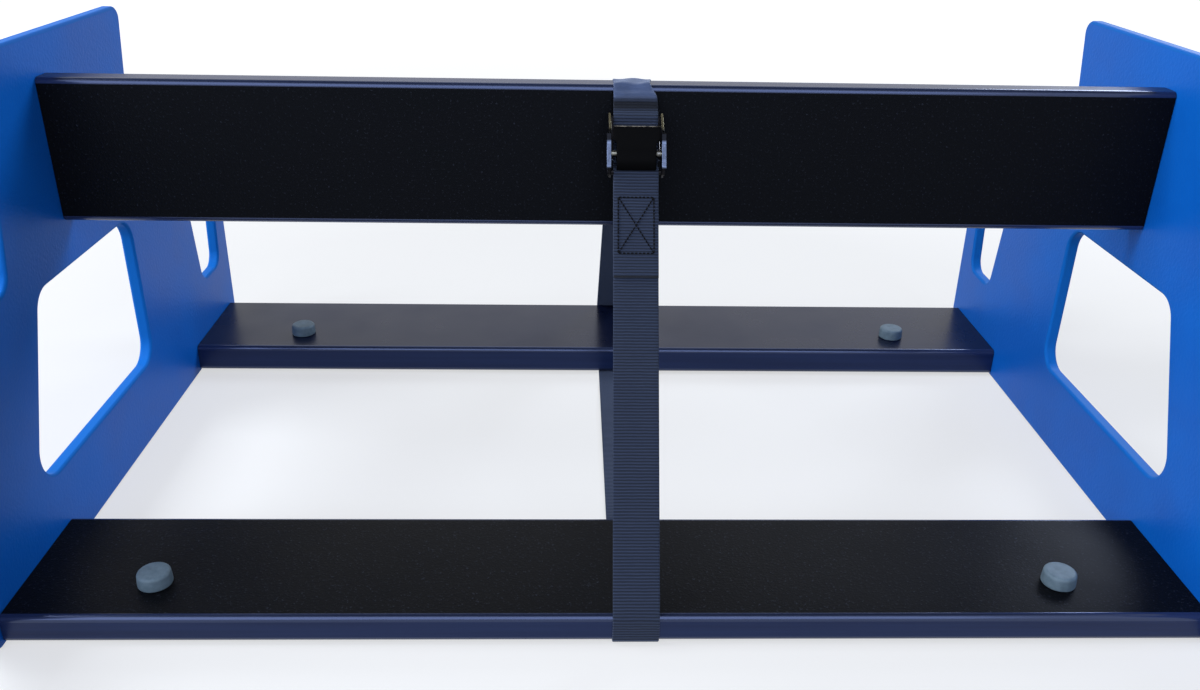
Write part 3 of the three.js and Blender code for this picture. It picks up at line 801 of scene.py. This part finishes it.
class RACK_OT_screws(Operator):
    """Builds the button head screws in the panels' outer faces."""

    bl_idname = "rack.screws"
    bl_label = "Screws"

    def execute(self, context):
        mat = bright_steel("stainless steel, turned", "#b9bbbe", 0.28)
        n, head, shank, length = 48, 5.4, 2.5, 50.0
        t = np.linspace(0, 2 * math.pi, n, endpoint=False)
        hexagon = 1 / np.cos((t + math.pi / 6) % (math.pi / 3) - math.pi / 6)
        f = np.linspace(0, 1, 10)
        dome = np.stack([head - 3.0 * f ** 1.6, 0.9 + 2.6 * np.sin(f * math.pi / 2)], -1)
        body = [(0, -length), (shank - 0.8, -length), (shank, 2 - length), (shank, GAP),
                (head - 0.2, GAP), (head, 0.5)]
        socket = [(1.95, 3.5), (1.9, 3.35), (1.9, 1.4), (0.9, 0.9), (0, 0.8)]
        profile = np.array([*body, *dome.tolist(), *socket])
        shape = np.ones((len(profile) - 2, n))
        shape[-4:-1] = hexagon
        v, q, tr = lathe(profile, n, shape)
        turned = v[:, [2, 0, 1]]
        rows = {
            "upper": [(UPPER_FRONT + BOARD_T / 2, z) for z in (300, 342.5, 385)],
            "front": [(FRONT_LIP + d, BOARD_LIFT + BOARD_T / 2) for d in (20, 70, 120)],
            "rear": [(REAR_BOARD + d, BOARD_LIFT + REAR_BOARD_T / 2) for d in (20, 70, 120)]}
        for row, places in rows.items():
            for side, sign in SIDES:
                for i, (y, z) in enumerate(places, start=1):
                    spin = 0.7 * i + 0.3 * sign + len(row)
                    c, s = math.cos(spin), math.sin(spin)
                    p = turned * (sign, 1, 1)
                    p[:, 1:] = p[:, 1:] @ [[c, s], [-s, c]]
                    p += (sign * (INNER + PANEL_T), y, z)
                    obj = make(f"button_screw_{row}_{side}_{i}", p, q, tr, [mat], sharp=40)
                    stand_for(obj, "rack", "screw_steel", f"screw_{row}_{side}_{i}")
        return {"FINISHED"}


class RACK_OT_bumpers(Operator):
    """Builds the rounded rubber bumpers on the lower boards."""

    bl_idname = "rack.bumpers"
    bl_label = "Bumpers"

    def execute(self, context):
        mat = grey_rubber()
        flat, soft = 10.7, 3.0
        f = np.linspace(0, math.pi / 2, 12)
        rim = np.stack([flat + soft * np.cos(f), 9.3 + soft * np.sin(f)], -1)
        r = np.array([9.0, 7.0, 5.0, 3.0, 1.0])
        dish = np.stack([r, 12.3 - 0.12 * np.cos(r / flat * math.pi / 2)], -1)
        profile = np.array([(0, 0), (13.4, 0), (13.9, 0.2), (14.15, 0.7), (14.2, 1.4), (14.0, 5.5),
                            *rim.tolist(), *dish.tolist(), (0, 12.18)])
        v, q, t = lathe(profile, 96)
        low = BOARD_LIFT + GAP
        for row, x, y, top in (("front", 381.0, FRONT_LIP + 44, low + BOARD_T),
                               ("rear", 370.0, REAR_BOARD + 41, low + REAR_BOARD_T)):
            for side, sign in SIDES:
                obj = make(f"rubber_{row}_{side}", v + (sign * x, y, top), q, t, [mat], sharp=60)
                stand_for(obj, "rack", "bumper_rubber", f"bumper_{row}_{side}")
        return {"FINISHED"}


class RACK_OT_strap(Operator):
    """Builds the webbing strap along its whole route."""

    bl_idname = "rack.strap"
    bl_label = "Strap"

    def puckered(self, s, flat):
        """Section at each distance s from the top: drawn in at the right and creased there.

        With w = exp(-(s / reach)^2), the right edge comes in by 6.4 w mm and a crease of height
        0.75 w (1 + cos) runs slantwise across.
        """
        w = np.exp(-(s / np.where(s > 0, 13.0, 30.0)) ** 2)[:, None]
        u, v = flat[None, :, 0], flat[None, :, 1]
        part = (u + STRAP_W / 2) / STRAP_W
        wave = 1 + np.cos(2 * math.pi * (part * 1.35 + s[:, None] / 46.0 + 0.18))
        return np.stack([u - 6.4 * w * part ** 2, v + 0.75 * w * wave], -1)

    def execute(self, context):
        step = context.scene.rack_sizes.strap_step * 1000
        path, at = evened(strap_path(), step)
        top = float(at[np.argmax(path[:, 1] + 0.001 * at)])
        half, thick = STRAP_W / 2, STRAP_T / 2
        u = np.linspace(-1, 1, 15)[1:-1] * (half - thick)
        f = np.linspace(-math.pi / 2, math.pi / 2, 7)
        right = np.stack([half - thick + thick * np.cos(f), thick * np.sin(f)], -1)
        upper = np.stack([u[::-1], np.full(13, thick)], -1)
        flat = np.concatenate([right, upper, -right, -upper])
        route = np.concatenate([np.full((len(path), 1), STRAP_X), path], 1)
        v, q, t = sweep(route, (1.0, 0.0, 0.0), self.puckered(at - top, flat))
        uv = np.stack([np.tile(flat[:, 0], len(path)), np.repeat(at, len(flat))], -1)
        uv = np.concatenate([uv, [[0, at[0]], [0, at[-1]]]])
        obj = make("strap", v, q, t, [webbing_cloth(top)], uv=uv, sharp=50)
        stand_for(obj, "rack", "webbing", "strap_webbing")
        return {"FINISHED"}


class RACK_OT_stitching(Operator):
    """Sews the box with a cross on the folded end of the strap."""

    bl_idname = "rack.stitching"
    bl_label = "Stitching"

    def execute(self, context):
        length = context.scene.rack_sizes.stitch * 1000
        a0, a1, half = -84.5, -36.5, 15.0
        seat = LINE_N + 2 * STRAP_T + GAP - 0.7
        runs = np.array([
            [(-half, a0), (-half, a1)], [(half, a0), (half, a1)], [(-half, a0), (half, a0)],
            [(-half, a1), (half, a1)], [(-half, a0), (half, a1)], [(-half, a1), (half, a0)]])
        f = np.linspace(0, math.pi, 7)
        g = np.linspace(0, 2 * math.pi, 8, endpoint=False)
        fat = 0.62 * np.sin(f) ** 0.5
        base = np.stack([
            -np.cos(f)[:, None] * np.ones(8) * length * 0.41,
            fat[:, None] * np.cos(g), fat[:, None] * np.sin(g) + 0.32 * np.sin(f)[:, None]], -1)
        verts, quads = [], []
        count = 0
        for start, end in runs:
            d = end - start
            size = np.linalg.norm(d)
            n = int(round(size / length))
            mids = start + d * ((np.arange(n) + 0.5) / n)[:, None]
            u = d / size
            w = np.array([-u[1], u[0]])
            xy = mids[:, None, None] + base[None, ..., :1] * u + base[None, ..., 1:2] * w
            h = np.broadcast_to(base[None, ..., 2:] + seat, xy.shape[:3] + (1,))
            verts.append(np.concatenate([xy, h], -1).reshape(-1, 3))
            one = ring_faces(7, 8)
            quads.append((one[None] + (count + np.arange(n) * 56)[:, None, None]).reshape(-1, 4))
            count += n * 56
        v, q = np.concatenate(verts), np.concatenate(quads)
        obj = make("box_stitch", to_rack(v), q, np.zeros((0, 3), int), [sewing_thread()], sharp=80)
        stand_for(obj, "rack", "thread", "strap_stitching")
        return {"FINISHED"}


# Outlines of the buckle's flanges and of their lips, rows of a, n, corner radius
LIP_ROWS = [
    (16.6, 15.8, 0.3), (15.5, 18, 0.9), (7, 16.2, 3), (-13.3, 16.2, 1.2), (-14.3, 14.7, 0.3),
    (7.5, 14.7, 3)]
FLANGE_ROWS = [
    (37.3, 0, 1.5), (37.3, 6, 2.5), (15.5, 18, 2.5), (7, 16.2, 3), (-13.3, 16.2, 2),
    (-17.6, 8.6, 2), (-18.8, 0, 2.5)]

# Middle line of the thumb plate, rows of a, n, from the cam to the thumb's edge
THUMB_LINE = [
    (-14.0, 9.3), (-13.2, 11.0), (-11.4, 13.2), (-8.8, 15.1), (-5.5, 16.1), (-1, 16.6), (4, 16.8),
    (9, 17.6), (13, 18.3), (17, 18.9), (19.5, 19.6), (21.4, 20.6)]


def placed(v, q, t):
    """Buckle piece from the buckle's frame to the rack's."""
    return to_rack(v), q, t


def headed_pin(n=40):
    """Pin with a domed head at each end, along x."""
    outer = BUCKLE_HALF + FLANGE_T + GAP
    f = np.linspace(0, math.pi / 2, 7)
    head = np.stack([3.1 * np.cos(f), outer + 0.4 + 0.8 * np.sin(f)], -1)
    head[-1, 0] = 0
    end = np.array([(PIN_R, outer), (2.95, outer), (3.1, outer + 0.15), *head.tolist()])
    v, q, t = lathe(np.concatenate([end[::-1] * (1, -1), end]), n)
    return v[:, [2, 0, 1]], q, t


class RACK_OT_buckle(Operator):
    """Builds the buckle: frame, anchor bar, pivot pin, spring and cam lever."""

    bl_idname = "rack.buckle"
    bl_label = "Cam buckle"

    def frame_parts(self):
        """Two flanges, the lip along each one's free edge, and the slotted base plate.

        Returns the mesh and, for each face, whether it is a broad side with its dark plating on.
        """
        outline = rounded_outline(FLANGE_ROWS, 10)
        holes = [circle(0, PIVOT_N, PIN_R + GAP, 36), circle(BAR_A, BAR_N, PIN_R + GAP, 36)]
        rim = rounded_outline(LIP_ROWS, 10)
        outer, sunk = BUCKLE_HALF + FLANGE_T, 0.4
        parts = []
        for x, lip_x in ((-outer, -outer - FLANGE_LIP), (BUCKLE_HALF, outer - sunk)):
            parts.append(slab(outline, holes, x, x + FLANGE_T, 0.4, 4)[:3])
            parts.append(slab(rim, [], lip_x, lip_x + FLANGE_LIP + sunk, 0.3, 3)[:3])
        half, foot, head = 21.7, -3, 35.8
        plate = rounded_outline(
            [(-half, foot, 0.4), (half, foot, 0.4), (half, head, 0.4), (-half, head, 0.4)], 3)
        gap = rounded_outline([(-12, 19, 2.5), (12, 19, 2.5), (12, 25, 2.5), (-12, 25, 2.5)], 8)
        v, q, t, _ = slab(plate, [gap], 0.0, 1.8, 0.4, 4)
        v, q, t = merge([*parts, (v[:, [1, 2, 0]], q, t)])
        side = np.cross(v[q[:, 1]] - v[q[:, 0]], v[q[:, 2]] - v[q[:, 0]])
        broad = np.abs(side[:, 0]) > 0.8 * np.linalg.norm(side, axis=1)
        low = v[q].mean(1)[:, 1] < -15.2
        return (v, q, t), np.concatenate([broad | low, np.ones(len(t), bool)])

    def lever_parts(self):
        """Toothed drum round the pin and the thumb plate over it; returns also the worn faces.

        The drum's radius is r = 7 - 0.02 (angle + 95) with 36 cos^2 teeth to the turn over the
        strap, and 5.6 elsewhere. The plate follows its smoothed middle line, with width flaring
        as 3 f f - 2 f f f toward the thumb and both ends rounded as a quarter circle.
        """
        deg = np.arange(-180, 180, 1.25)
        tooth = 0.35 * (np.cos(np.radians(deg) * 36) ** 2 * 2 - 2)
        in_teeth = (deg >= -130) & (deg <= -50)
        r = np.where(in_teeth, np.minimum(7.0 - (deg + 95) * 0.02 + tooth, 7.4), 5.6)
        a = np.radians(deg)
        drum = np.stack([r * np.cos(a), PIVOT_N + r * np.sin(a)], -1)
        bore = circle(0, PIVOT_N, PIN_R + GAP, 36)
        v, q, t, _ = slab(drum, [bore], -LEVER_HALF, 14.2, 0.04, 1)
        curve = np.array(THUMB_LINE)
        s = np.concatenate([[0], np.cumsum(np.linalg.norm(np.diff(curve, axis=0), axis=1))])
        rows, around, reach = 90, 40, 7
        at = np.linspace(0, s[-1], rows)
        line = np.stack([np.interp(at, s, curve[:, k]) for k in (0, 1)], -1)
        line = np.pad(line, ((reach, reach), (0, 0)), mode="edge")
        kernel = np.hanning(2 * reach + 1) / np.hanning(2 * reach + 1).sum()
        line = np.stack([np.convolve(line[:, k], kernel, "valid") for k in (0, 1)], -1)
        end = np.minimum(at, at[-1] - at)
        thick = 1.1 * np.sqrt(np.clip(1 - (1 - np.minimum(end / 1.1, 1)) ** 2, 0.02, 1))
        tip = np.clip((at - (at[-1] - 2.2)) / 2.2, 0, 1)
        flare = np.clip((line[:, 0] - 6.0) / 5.0, 0, 1)
        width = LEVER_HALF + (THUMB_HALF - LEVER_HALF) * flare ** 2 * (3 - 2 * flare)
        width -= 1.8 * (1 - np.sqrt(np.clip(1 - tip ** 2, 0, 1)))
        g = np.linspace(0, 2 * math.pi, around, endpoint=False)
        cx = np.sign(np.cos(g)) * np.abs(np.cos(g)) ** 0.16
        cy = np.sign(np.sin(g)) * np.abs(np.sin(g)) ** 0.5
        section = np.stack([width[:, None] * cx, thick[:, None] * cy], -1)
        plate = sweep(np.pad(line, ((0, 0), (1, 0))), (1.0, 0.0, 0.0), section)
        worn = np.concatenate([
            np.zeros(len(q)), np.repeat(at[1:] > at[-1] - 0.75, around),
            np.zeros(len(t) + around), np.ones(around)])
        return merge([(v, q, t), plate]), worn

    def spring_part(self):
        """Round wire in three and a half turns beside the drum, with two legs."""
        x0, x1 = COIL_X
        coil_r, wire_r = 2.95, 0.4
        t = np.linspace(0, 1, 220)
        ang = math.pi / 2 + t * 3.5 * 2 * math.pi
        coil = np.stack([x0 + (x1 - x0) * t, coil_r * np.cos(ang), coil_r * np.sin(ang)], -1)
        leg0 = [(x0, 11.5, 2.4), (x0, 8, 2.6), (x0, 4, 2.85)]
        leg1 = [(x1, 4, -3.1), (x1, 8, -4.4), (x1, 12, -5.5)]
        path = np.concatenate([leg0, coil, leg1]) + (0, 0, PIVOT_N)
        return sweep(path, (0.98, 0.0, 0.2), circle(0, 0, wire_r, 10))

    def execute(self, context):
        dark = dark_steel()
        pins = bright_steel("zinc plated steel", "#77776f", 0.36)
        parts, dull = self.frame_parts()
        obj = make("frame_of_buckle", *placed(*parts), [plated_steel(), dark], sharp=40,
                   picks=dull)
        stand_for(obj, "rack", "buckle_steel", "buckle_frame")
        v, q, t = headed_pin()
        obj = make("pivot_pin", *placed(v + (0, 0, PIVOT_N), q, t), [pins], sharp=40)
        stand_for(obj, "rack", "pin_steel", "buckle_pivot_pin")
        obj = make("anchor_bar", *placed(v + (0, BAR_A, BAR_N), q, t), [dark], sharp=40)
        stand_for(obj, "rack", "pin_steel", "buckle_anchor_bar")
        wire = bright_steel("spring steel wire", "#a3a3a6", 0.25)
        obj = make("lever_spring", *placed(*self.spring_part()), [wire], sharp=60)
        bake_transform(obj)
        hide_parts("buckle_spring")
        parts, worn = self.lever_parts()
        obj = make("cam_lever_plate", *placed(*parts), [coated_steel(), worn_steel()], sharp=35,
                   picks=worn)
        stand_for(obj, "cam_lever", "lever_black", "buckle_cam_lever")
        return {"FINISHED"}


def on_stage(obj):
    """Links a light, a camera or a studio sheet into the scene."""
    bpy.context.scene.collection.objects.link(obj)


def seen_rays(tree):
    """1 for rays from the camera, in gloss and through glass, which see the white background."""
    path = add(tree, "ShaderNodeLightPath").outputs
    total = figure(tree, "MAXIMUM", path["Is Camera Ray"], path["Is Glossy Ray"])
    return figure(tree, "MAXIMUM", total, path["Is Transmission Ray"])


def chosen(tree, usual, seen, output):
    """Mixes two shaders into the output: the second one for the rays that see the background."""
    mix = add(tree, "ShaderNodeMixShader", [(0, seen_rays(tree)), (1, usual), (2, seen)])
    tree.links.new(mix.outputs[0], tree.nodes[output].inputs["Surface"])


def studio_sheet(name, size, place, mat):
    """Level rectangle of that size about a place."""
    w, h = size[0] / 2, size[1] / 2
    mesh = bpy.data.meshes.new(name)
    mesh.from_pydata([(-w, -h, 0), (w, -h, 0), (w, h, 0), (-w, h, 0)], [], [(0, 1, 2, 3)])
    mesh.materials.append(mat)
    obj = bpy.data.objects.new(name, mesh)
    obj.location = place
    on_stage(obj)


def studio_paper():
    """Pale floor. Rays that see the background find it near white, with the object's shadow."""
    mat, tree, shader = finish("studio paper", "#a5a39f", 0.9, Specular_IOR_Level=0.0)
    far = add(tree, "ShaderNodeVectorMath", [("Vector", object_coords(tree))], operation="LENGTH")
    glow = add(tree, "ShaderNodeEmission", Color=rgba("#ffffff"))
    tree.links.new(span(tree, far.outputs["Value"], 0.8, 3.2, 0.6, 1.0), glow.inputs["Strength"])
    both = add(tree, "ShaderNodeAddShader", [(0, shader.outputs[0]), (1, glow.outputs[0])])
    chosen(tree, shader.outputs[0], both.outputs[0], "Material Output")
    return mat


def black_card():
    """Dull black card: overhead, it puts a dark line between the sheens on rounded edges."""
    return finish("black card", "#0a0b10", 0.95, Specular_IOR_Level=0.0)[0]


def soft_light(name, place, target, size, power, colour):
    """Large flat light aimed at a point; the camera doesn't see it."""
    data = bpy.data.lights.new(name, "AREA")
    data.shape = "RECTANGLE"
    data.size, data.size_y = size
    data.energy = power
    data.color = rgba(colour)[:3]
    obj = bpy.data.objects.new(name, data)
    obj.location = place
    aim = Vector(target) - Vector(place)
    obj.rotation_euler = aim.to_track_quat("-Z", "Y").to_euler()
    obj.visible_camera = False
    on_stage(obj)


def soft_world(fill):
    """Dim blue light from all round, and white for the rays that see the background."""
    world = bpy.data.worlds.new("studio")
    world.use_nodes = True
    tree = world.node_tree
    back = tree.nodes["Background"]
    back.inputs["Color"].default_value = rgba("#c3d0f0")
    back.inputs["Strength"].default_value = fill
    white = add(tree, "ShaderNodeBackground", Color=rgba("#ffffff"), Strength=1.0)
    chosen(tree, back.outputs[0], white.outputs[0], "World Output")
    return world


def photo_camera(lens):
    """Camera that stands and is turned as the photograph's: heading, pitch down and roll."""
    data = bpy.data.cameras.new("camera")
    data.lens = lens
    data.sensor_width = 36.0
    data.clip_start = 0.01
    cam = bpy.data.objects.new("camera", data)
    heading, pitch, roll = np.radians([1.797, 25.242, 1.108])
    ahead = Vector((math.sin(heading) * math.cos(pitch), math.cos(heading) * math.cos(pitch),
                    -math.sin(pitch)))
    right = ahead.cross(Vector((0, 0, 1))).normalized()
    up = right.cross(ahead)
    right, up = (right * math.cos(roll) + up * math.sin(roll),
                 up * math.cos(roll) - right * math.sin(roll))
    turn = Matrix((right, up, -ahead)).transposed()
    cam.matrix_world = Matrix.Translation((-0.0366, -0.9530, 0.5859)) @ turn.to_4x4()
    on_stage(cam)
    return cam


class RACK_OT_stage(Operator):
    """Sets the pale floor, the soft light and the camera."""

    bl_idname = "rack.stage"
    bl_label = "Stage"

    def execute(self, context):
        scene = context.scene
        light = scene.rack_stage
        studio_sheet("studio floor", (30.0, 30.0), (0, 0, -0.0005), studio_paper())
        studio_sheet("dark card", (3.4, 2.0), (0, -0.1, 2.5), black_card())
        for name, place, target, size, power, colour in (
                ("key", (-2.2, -0.2, 1.9), (0.1, 0, 0.2), (1.5, 1.5), light.key, "#e9f2ff"),
                ("front", (-0.3, -2.0, 1.4), (0, -0.1, 0.25), (3.2, 1.7), light.front, "#dbe7ff"),
                ("rear", (1.7, 1.5, 1.7), (-0.4, 0.05, 0.35), (1.1, 1.1), light.rear, "#dfebff")):
            soft_light(name, place, target, size, power, colour)
        scene.world = soft_world(light.fill)
        scene.view_settings.view_transform = "Standard"
        scene.camera = photo_camera(light.lens)
        return {"FINISHED"}


OPERATORS = (RACK_OT_panels, RACK_OT_boards, RACK_OT_screws, RACK_OT_bumpers, RACK_OT_strap,
             RACK_OT_stitching, RACK_OT_buckle, RACK_OT_stage)


class RACK_PT_sidebar(Panel):
    """Sidebar panel with one button for each group of pieces."""

    bl_idname = "RACK_PT_sidebar"
    bl_label = "Ski rack stand"
    bl_space_type = "VIEW_3D"
    bl_region_type = "UI"
    bl_category = "Rack"

    def draw(self, context):
        layout = self.layout
        for name in ("panel_edge", "board_edge", "corner_steps", "strap_step", "stitch"):
            layout.prop(context.scene.rack_sizes, name)
        for operator in OPERATORS:
            layout.operator(operator.bl_idname)


CLASSES = (RackSizes, StageSettings, *OPERATORS, RACK_PT_sidebar)


def register():
    for cls in CLASSES:
        bpy.utils.register_class(cls)
    bpy.types.Scene.rack_sizes = PointerProperty(type=RackSizes)
    bpy.types.Scene.rack_stage = PointerProperty(type=StageSettings)


def unregister():
    del bpy.types.Scene.rack_stage
    del bpy.types.Scene.rack_sizes
    for cls in reversed(CLASSES):
        bpy.utils.unregister_class(cls)


def main():
    register()
    for operator in OPERATORS:
        getattr(bpy.ops.rack, operator.bl_idname.partition(".")[2])()


if __name__ == "__main__":
    main()
